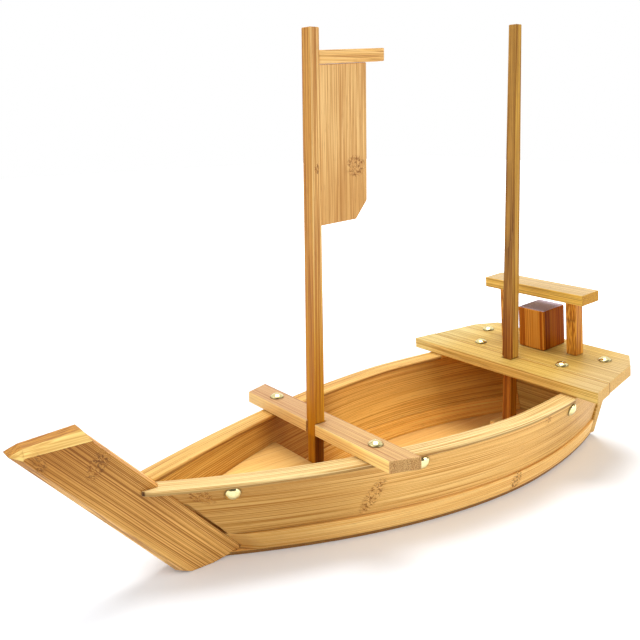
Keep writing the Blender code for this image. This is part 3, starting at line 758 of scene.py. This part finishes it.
bevelTones = (tone(237, 202, 121), tone(208, 161, 86))
stemLook = {
    "axes": ((-rake, 0.0, rake), (rake, 0.0, rake), toStarboard),
    "seed": 6.1, "strip": (0.02, 0.0065), "stripShift": 0.1, "seam": 0.12, "fine": 0.8,
    "tone": tone(188, 133, 61), "pale": tone(213, 159, 84), "dark": tone(150, 96, 40),
    "shade": tone(106, 64, 28), "end": tone(206, 152, 78), "endDepth": 0.2,
    "streakScale": 2500.0, "streak": 3.0, "band": 0.05, "broad": 0.1,
    "sawnScale": (16.0, 900.0, 900.0),
    "sawn": (  # the top edge and its bevels
        ((0.0, -0.8, 0.6), 0.86, *bevelTones),
        ((0.0, 0.8, 0.6), 0.86, *bevelTones),
        ((-0.66, -0.51, 0.56), 0.9, *bevelTones),
        ((-0.15, 0.0, 0.99), 0.88, tone(194, 138, 57), tone(152, 94, 32)),
    ),
    "sides": (  # the front and back bevels are paler
        *(((-0.58, side * 0.55, -0.6), 0.88, cast(1.2, 1.28, 1.5)) for side in (-1, 1)),
        *(((0.676, side * 0.294, 0.676), 0.86, cast(1.31, 1.35, 1.34)) for side in (-1, 1)),
    ),
    "stainsAndShade": (((rake, 0.0, rake), -0.116, -0.1185, toPort, cast(1.14, 1.22, 1.38)),),
    "drift": ((0.2, 0.29, cast(0.73, 0.61, 0.46)), (0.19, 0.12, cast(1.22, 1.32, 1.5))),
    "knots": (
        {"at": (0.238, -0.0922), "size": (0.0078, 0.0145), "slant": 0.1},
        {"at": (0.2735, -0.1125), "size": (0.0075, 0.006), "slant": 0.6, "depth": 0.75},
    ),
}

notchShade = cast(0.36, 0.22, 0.18)
thwartLook = {
    "axes": alongY,
    "seed": 3.4, "strip": (0.0062, 0.02), "stripShift": 0.4, "seam": 0.4, "streak": 1.5, "run": 6.0,
    "tone": tone(214, 164, 104), "pale": tone(232, 190, 124), "dark": tone(176, 110, 60),
    "shade": tone(132, 78, 44), "end": tone(196, 153, 93), "endShade": tone(146, 100, 54),
    "drift": ((-0.06, 0.05, cast(0.82, 0.78, 0.86)),),
    "calm": ((toBow, 0.6),),
    # painted light and shade: the front face paler, the top a little darker
    "sides": ((toTop, flat, cast(0.89, 0.91, 0.97)), (toBow, flat, cast(1.55, 1.87, 1.67))),
    "stainsAndShade": (  # painted shade on the notch's far side
        (toStarboard, 0.0072, 0.0062, toBow, notchShade),
        (toStarboard, 0.001, -0.003, toBow, uncast(notchShade)),
    ),
}

deckLook = {
    "axes": alongY,
    "seed": 8.8, "strip": (0.0095, 0.02), "stripShift": 0.2, "seam": 0.3, "streak": 2.3,
    "tone": tone(209, 173, 93), "pale": tone(228, 194, 115), "dark": tone(185, 141, 67),
    "shade": tone(136, 90, 40), "end": tone(219, 171, 104), "endShade": tone(190, 142, 82), "endDepth": 0.6,
}
deckJoint = 0.2205  # where the two planks meet
deckTopLook = {
    **deckLook,
    "joints": (
        (alongDeck, deckJoint, 0.0011, toTop),
        (alongDeck, deckJoint, 0.0024, toPort),
        (alongDeck, deckJoint, 0.0024, toStarboard),
    ),
    "sides": ((toBow, flat, cast(1.22, 1.25, 1.28)),),
    "stainsAndShade": (  # ruddy in the middle, greyer toward the sides
        (toPort, 0.085, 0.05, toTop, cast(0.92, 0.9, 0.75)),
        (toPort, 0.05, 0.1, toTop, cast(0.91, 0.97, 1.45)),
        (toStarboard, 0.05, 0.1, toTop, cast(1.05, 1.2, 1.9)),
    ),
}
shelfLook = {
    "axes": alongX,
    "seed": 5.6, "strip": (0.024, 0.02), "stripShift": 0.14, "seam": 0.16, "streak": 1.1, "band": 0.15,
    "tone": tone(250, 202, 118), "pale": tone(254, 213, 138), "dark": tone(232, 175, 94),
    "shade": tone(154, 100, 44), "end": tone(206, 152, 78), "endDepth": 0.3,
    "stainsAndShade": ((toStern, -0.105, -0.055, toTop, cast(0.75, 0.7, 0.65)),),  # painted shade under the thwart
}
stepLook = {**shelfLook, "stainsAndShade": ()}
bottomLook = {
    **stepLook,
    "seed": 6.6,
    "tone": tone(241, 189, 107), "pale": tone(247, 202, 126), "dark": tone(223, 164, 85),
    "sides": tuple((side, 0.3, cast(0.34, 0.27, 0.22)) for side in (toPort, toStarboard)),  # painted shade on the rim, set in under the lower planks
}

mastLook = {
    "axes": upright,
    "seed": 7.2, "strip": (0.0052, 0.0105), "stripShift": 0.5, "seam": 0.4, "run": 7.0,
    "tone": tone(208, 152, 78), "pale": tone(228, 182, 106), "dark": tone(172, 112, 48),
    "shade": tone(122, 72, 30), "end": tone(196, 146, 84), "endDepth": 0.4,
}
foreMastLook = {
    **mastLook,
    "drift": ((0.26, 0.1, cast(0.84, 0.67, 0.1)),),
    "knots": ({"at": (0.2933, -0.0405), "size": (0.0055, 0.0028), "depth": 0.9},),
    "stainsAndShade": (  # painted shade on the foot below the thwart, darkest on the port face; above it the lower bow and port faces are tinted
        (toTop, 0.0725, 0.069, toPort, cast(0.42, 0.32, 0.28)),
        (toTop, 0.0725, 0.069, toBow, cast(0.8, 0.77, 0.77)),
        (toTop, 0.2, 0.11, toBow, cast(1.09, 1.14, 0.88)),
        (toTop, 0.2, 0.11, toPort, cast(0.97, 0.91, 0.82)),
    ),
    # painted light and shade: the bow face darker, the port face a little paler
    "sides": ((toBow, flat, cast(0.835, 0.7, 0.52)), (toPort, flat, cast(1.02, 1.07, 1.28))),
}
aftMastLook = {
    **mastLook,
    "seed": 8.4, "strip": (0.0034, 0.0036), "stripShift": 0.9, "streak": 3.2,
    "tone": tone(172, 123, 42), "pale": tone(198, 150, 60), "dark": tone(136, 88, 26),
    "shade": tone(102, 62, 26),
    # painted shade: the bow face darker
    "sides": ((toBow, flat, cast(0.86, 0.82, 1.1)),),
    "stainsAndShade": ((toTop, 0.17, 0.1, toBow, cast(1.06, 0.8, 0.6)),),
}
flagLook = {
    "axes": upright,
    "seed": 9.5, "strip": (0.0125, 0.03), "stripShift": 0.3, "seam": 0.22, "streakScale": 1900.0,
    "streak": 2.2, "run": 16.0, "band": 0.15,
    "tone": tone(216, 168, 102), "pale": tone(234, 192, 126), "dark": tone(188, 134, 72),
    "shade": tone(144, 92, 44), "end": tone(206, 156, 92),
    "drift": ((0.33, 0.26, cast(0.87, 0.79, 0.67)),),
    "knots": ({"at": (0.2935, 0.0032), "size": (0.0105, 0.0118), "depth": 1.6},),
}
yardLook = {
    **flagLook,
    "axes": alongXOnEdge, "seed": 2.9, "tone": tone(234, 182, 103), "knots": (), "drift": (),
}

benchLook = {
    **deckLook,
    "seed": 1.1, "strip": (0.0138, 0.0055),
    "tone": tone(231, 183, 78), "pale": tone(242, 201, 100),
    "end": tone(186, 132, 28), "endShade": tone(150, 91, 26), "endDepth": 0.75,
    "sides": ((toTop, flat, cast(0.73, 0.82, 1.95)),),
}
postLook = {
    **mastLook,
    "seed": 3.8, "strip": (0.006, 0.006),
    "tone": tone(213, 142, 43), "pale": tone(230, 164, 63), "dark": tone(162, 94, 26),
}
blockLook = {
    **mastLook,
    "axes": squareToDeck,
    "seed": 5.2, "strip": (0.0078, 0.0062), "stripShift": 1.3, "waver": 0.0003, "run": 2.6, "dash": 0.06,
    "tone": tone(206, 120, 34), "pale": tone(228, 156, 62), "dark": tone(162, 86, 20), "gloss": 0.2,
    "end": tone(188, 179, 195), "endShade": tone(146, 122, 120), "endDepth": 0.95,
    "sides": ((toPort, flat, cast(0.49, 0.35, 0.1)),),
}
bearerLook = {**sideLook, "axes": alongXOnEdge, "end": tone(206, 156, 90), "knots": ()}
crossboardLook = {**deckLook, "axes": alongYOnEdge}

nodeLooks = {
    "stem_board": stemLook,
    "bottom_board": bottomLook,
    "transom": {**crossboardLook, "seed": 4.9},
    "bow_shelf": shelfLook,
    "bow_riser": {**crossboardLook, "seed": 5.9},
    "thwart": thwartLook,
    "deck_front_plank": deckTopLook,
    "deck_rear_plank": {**deckTopLook, "seed": 9.9},
    "deck_beam": {**deckLook, "seed": 10.3},
    "deck_bearer_port": bearerLook,
    "deck_bearer_starboard": {**bearerLook, "seed": 3.3},
    "bench_bar": benchLook,
    "bench_post_port": postLook,
    "bench_post_starboard": {**postLook, "seed": 4.6},
    "stern_block": blockLook,
    "fore_mast": foreMastLook,
    "aft_mast": aftMastLook,
    "fore_mast_step": {**stepLook, "seed": 7.7},
    "aft_mast_step": {**stepLook, "seed": 8.1},
    "yard": yardLook,
    "flag_board": flagLook,
}


def dress(name, look):
    node = nodes[name]
    material = bamboo(name, look)
    node.data.materials.clear()
    node.data.materials.append(material)


for name, look in nodeLooks.items():
    dress(name, look)
print("straight pieces finished:", len(nodeLooks))

wallShade = cast(0.42, 0.31, 0.24)


def wallLook(look, side):
    # painted shade on the inner face under the thwart
    inward = (0.0, -side, 0.0)
    stainsAndShade = ((toStern, -0.075, -0.03, inward, wallShade), (toStern, 0.0, 0.06, inward, uncast(wallShade)))
    return {**look, "stainsAndShade": stainsAndShade, "knots": look["knots"] if side < 0 else ()}


railBamboos = {"port": bamboo("rail_bamboo_port", railLook),
               "starboard": bamboo("rail_bamboo_starboard", farRailLook)}
for word, side in (("port", -1), ("starboard", 1)):
    sideBamboo = bamboo(f"side_bamboo_{word}", wallLook(sideLook, side))
    lowerBamboo = bamboo(f"lower_bamboo_{word}", wallLook(lowerLook, side))
    pieces = (
        (strake(f"bent_lower_{word}", lowerProfile(lowerStrake), side, lowerStrake["stations"], lowerBamboo),
         f"lower_plank_{word}", "bamboo"),
        (strake(f"bent_upper_{word}", upperProfile(upperStrake), side, upperStrake["stations"], sideBamboo),
         f"upper_plank_{word}", "bamboo"),
        (rail(f"bent_rail_{word}", side, railStyle, railBamboos[word]), f"rail_{word}", "pale_bamboo"),
    )
    for piece, node, slot in pieces:
        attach(piece, "hull")
        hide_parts(node)
print("bent planks and rails made")


# domed nails: a turned dome over each head

nailStyle = {
    "dome": 0.0034, "rim": 0.0005, "lip": 0.0002, "rings": 14, "sides": 56,
    "rimShare": 0.97,  # points this far out belong to the head's rim
    "sharpTurn": math.radians(50),
    "tone": tone(243, 230, 168), "tarnish": tone(204, 170, 98), "rimTone": tone(92, 66, 30),
    "cloud": (420.0, 420.0, 420.0), "scratch": (5200.0, 900.0, 5200.0),
    "dullRange": (0.46, 0.7), "dullShare": 0.3,
    "rimRange": (0.17, 0.02), "rimWaver": 0.12, "rimShade": 0.7,
    "rough": 0.1, "dullRough": 0.05, "scratchRough": 0.06, "rimRough": 0.2,
    "bump": 0.02, "bumpDepth": 0.0002,
}


def nailSeat(node, style):
    # foot, direction and radius of the head, from the spread of the solid's points
    points = numpy.array([tuple(node.matrix_world @ vertex.co) for vertex in node.data.vertices])
    middle = points.mean(axis=0)
    spread, turns = numpy.linalg.eigh(numpy.cov((points - middle).T))
    axis = turns[:, 0] if spread[1] - spread[0] > spread[2] - spread[1] else turns[:, 2]
    along = (points - middle) @ axis
    away = numpy.linalg.norm(points - middle - numpy.outer(along, axis), axis=1)
    head = along[away > style["rimShare"] * away.max()]
    tip = along[numpy.argmax(abs(along - head.mean()))]  # the shank reaches farther than the dome
    if tip > head.mean():
        axis, head = -axis, -head
    return Vector(middle + axis * head.min()), Vector(axis), float(away.max())


def nailDome(name, node, style, material):
    seat, axis, radius = nailSeat(node, style)
    turn = axis.to_track_quat("Z", "Y")
    lip = [(radius - style["lip"], 0.0), (radius, style["lip"])]
    rise = style["dome"] - style["rim"]
    ball = (radius ** 2 + rise ** 2) / (2 * rise)
    reach = math.asin(radius / ball)
    dome = []
    for k in range(style["rings"]):
        a = reach * (1 - k / style["rings"])
        dome.append((ball * math.sin(a), style["rim"] + ball * (math.cos(a) - math.cos(reach))))
    profile = lip + dome
    sides = style["sides"]
    points = []
    for out, height in profile:
        for k in range(sides):
            a = math.tau * k / sides
            points.append(seat + turn @ Vector((out * math.cos(a), out * math.sin(a), height)))
    points.append(seat + axis * style["dome"])
    faces = [tuple(range(sides))[::-1], *bridge(len(profile), sides)]
    last = (len(profile) - 1) * sides
    for k in range(sides):
        faces.append((last + k, last + (k + 1) % sides, len(points) - 1))
    mesh = bpy.data.meshes.new(name)
    mesh.from_pydata(points, [], faces)
    rises = [0.0] * len(lip) + [k / style["rings"] for k in range(len(dome))]
    crown = [value for value in rises for _ in range(sides)]
    kept = mesh.attributes.new("crown", "FLOAT", "POINT")  # nought at the rim, one at the top
    kept.data.foreach_set("value", [*crown, 1.0])
    mesh.shade_smooth()
    mesh.set_sharp_from_angle(angle=style["sharpTurn"])
    mesh.materials.append(material)
    piece = bpy.data.objects.new(name, mesh)
    bpy.context.scene.collection.objects.link(piece)
    return piece


def brass(style):
    material, tree, shader = freshMaterial("nail_brass")
    place = tree.nodes.new("ShaderNodeTexCoord")
    cloud = noise(tree, vectorSums(tree, "MULTIPLY", place.outputs["Object"], style["cloud"]), 3.0)
    scratch = noise(tree, vectorSums(tree, "MULTIPLY", place.outputs["Object"], style["scratch"]), 2.0)
    dull = ease(tree, cloud, *style["dullRange"])
    colour = blend(tree, sums(tree, "MULTIPLY", dull, style["dullShare"]), style["tone"], style["tarnish"])
    kept = tree.nodes.new("ShaderNodeAttribute")
    kept.attribute_name = "crown"
    edge = sums(tree, "ADD", kept.outputs["Fac"], swing(tree, cloud, style["rimWaver"]))
    edge = ease(tree, edge, *style["rimRange"])  # polishing misses the rim
    colour = blend(tree, sums(tree, "MULTIPLY", edge, style["rimShade"]), colour, style["rimTone"])
    tree.links.new(colour, shader.inputs["Base Color"])
    rough = sums(tree, "MULTIPLY_ADD", dull, style["dullRough"], style["rough"])
    rough = sums(tree, "ADD", rough, swing(tree, scratch, style["scratchRough"]))
    rough = sums(tree, "MULTIPLY_ADD", edge, style["rimRough"], rough)
    tree.links.new(rough, shader.inputs["Roughness"])
    bump = tree.nodes.new("ShaderNodeBump")
    bump.inputs["Strength"].default_value = style["bump"]
    bump.inputs["Distance"].default_value = style["bumpDepth"]
    tree.links.new(sums(tree, "ADD", cloud, scratch), bump.inputs["Height"])
    tree.links.new(bump.outputs[0], shader.inputs["Normal"])
    shader.inputs["Metallic"].default_value = 1.0
    return material


nailBrass = brass(nailStyle)
nailNames = sorted(name for name in nodes if "_nail_" in name)
for name in nailNames:
    piece = nailDome(f"dome_{name}", nodes[name], nailStyle, nailBrass)
    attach(piece, "hull")
    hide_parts(name)
print("nails finished:", len(nailNames))


# floor, light and backdrop

studio = {
    "floorSize": 8.0,
    "floorDrop": 0.0003,
    "floorTone": (0.885, 0.915, 0.955, 1.0),
    "floorRough": 0.9,
    "floorSpecular": 0.1,
    "floorLift": 0.06,
    "floorFade": (0.42, 1.1),  # metres from the boat's middle where the floor turns to plain white
    "white": (1.0, 1.0, 1.0, 1.0),
    "skyFill": 0.42,
    # the room a polished piece sees: dark on the near side, bright behind, a little less overhead
    "roomGlint": (0.12, 1.0), "nearSide": (-0.55, -0.15),
    "overheadGlint": (1.0, 0.9), "overhead": (0.35, 0.85),
    "lamps": (
        {"name": "left", "place": (-2.2, 0.4, 1.5), "size": 2.1, "power": 27.0},
        {"name": "right", "place": (1.2, -2.2, 1.1), "size": 2.0, "power": 37.0},
        {"name": "top", "place": (0.4, 0.5, 2.4), "size": 1.5, "power": 53.0},
    ),
}


def whiteRays(tree):
    rays = tree.nodes.new("ShaderNodeLightPath")
    seen = sums(tree, "MAXIMUM", rays.outputs["Is Camera Ray"], rays.outputs["Is Glossy Ray"])
    return sums(tree, "MAXIMUM", seen, rays.outputs["Is Transmission Ray"])


def setFloor(setup):
    half = setup["floorSize"] / 2
    mesh = bpy.data.meshes.new("floor")
    mesh.from_pydata([(-half, -half, 0.0), (half, -half, 0.0), (half, half, 0.0), (-half, half, 0.0)], [],
                     [(0, 1, 2, 3)])
    floor = bpy.data.objects.new("floor", mesh)
    floor.location.z = -setup["floorDrop"]
    bpy.context.scene.collection.objects.link(floor)
    material, tree, shader = freshMaterial("floor_paper")
    shader.inputs["Base Color"].default_value = setup["floorTone"]
    shader.inputs["Roughness"].default_value = setup["floorRough"]
    shader.inputs["Specular IOR Level"].default_value = setup["floorSpecular"]
    shader.inputs["Emission Color"].default_value = setup["white"]
    spot = tree.nodes.new("ShaderNodeTexCoord")
    away = tree.nodes.new("ShaderNodeVectorMath")
    away.operation = "LENGTH"
    tree.links.new(spot.outputs["Object"], away.inputs[0])
    lift = ease(tree, away.outputs["Value"], *setup["floorFade"], setup["floorLift"], 1.0)
    tree.links.new(sums(tree, "MULTIPLY", whiteRays(tree), lift), shader.inputs["Emission Strength"])
    mesh.materials.append(material)


def setWorld(setup):
    world = bpy.data.worlds.new("studio")
    bpy.context.scene.world = world
    world.use_nodes = True
    tree = world.node_tree
    tree.nodes.clear()
    fill = tree.nodes.new("ShaderNodeBackground")
    fill.inputs["Color"].default_value = setup["white"]
    fill.inputs["Strength"].default_value = setup["skyFill"]
    white = tree.nodes.new("ShaderNodeBackground")
    white.inputs["Color"].default_value = setup["white"]
    rays = tree.nodes.new("ShaderNodeLightPath")
    toward = tree.nodes.new("ShaderNodeTexCoord")
    split = tree.nodes.new("ShaderNodeSeparateXYZ")
    tree.links.new(toward.outputs["Generated"], split.inputs[0])
    glint = ease(tree, split.outputs["Y"], *setup["nearSide"], *setup["roomGlint"])
    overhead = ease(tree, split.outputs["Z"], *setup["overhead"], *setup["overheadGlint"])
    seen = sums(tree, "MAXIMUM", rays.outputs["Is Camera Ray"], sums(tree, "MULTIPLY", glint, overhead))
    tree.links.new(seen, white.inputs["Strength"])
    mix = tree.nodes.new("ShaderNodeMixShader")
    tree.links.new(whiteRays(tree), mix.inputs[0])
    tree.links.new(fill.outputs[0], mix.inputs[1])
    tree.links.new(white.outputs[0], mix.inputs[2])
    output = tree.nodes.new("ShaderNodeOutputWorld")
    tree.links.new(mix.outputs[0], output.inputs["Surface"])


def setLamps(lamps):
    for lamp in lamps:
        data = bpy.data.lights.new(lamp["name"], "AREA")
        data.size = lamp["size"]
        data.energy = lamp["power"]
        light = bpy.data.objects.new(lamp["name"], data)
        light.location = lamp["place"]
        light.rotation_euler = (-Vector(lamp["place"])).to_track_quat("-Z", "Y").to_euler()
        bpy.context.scene.collection.objects.link(light)


setFloor(studio)
setWorld(studio)
setLamps(studio["lamps"])
print("studio set")
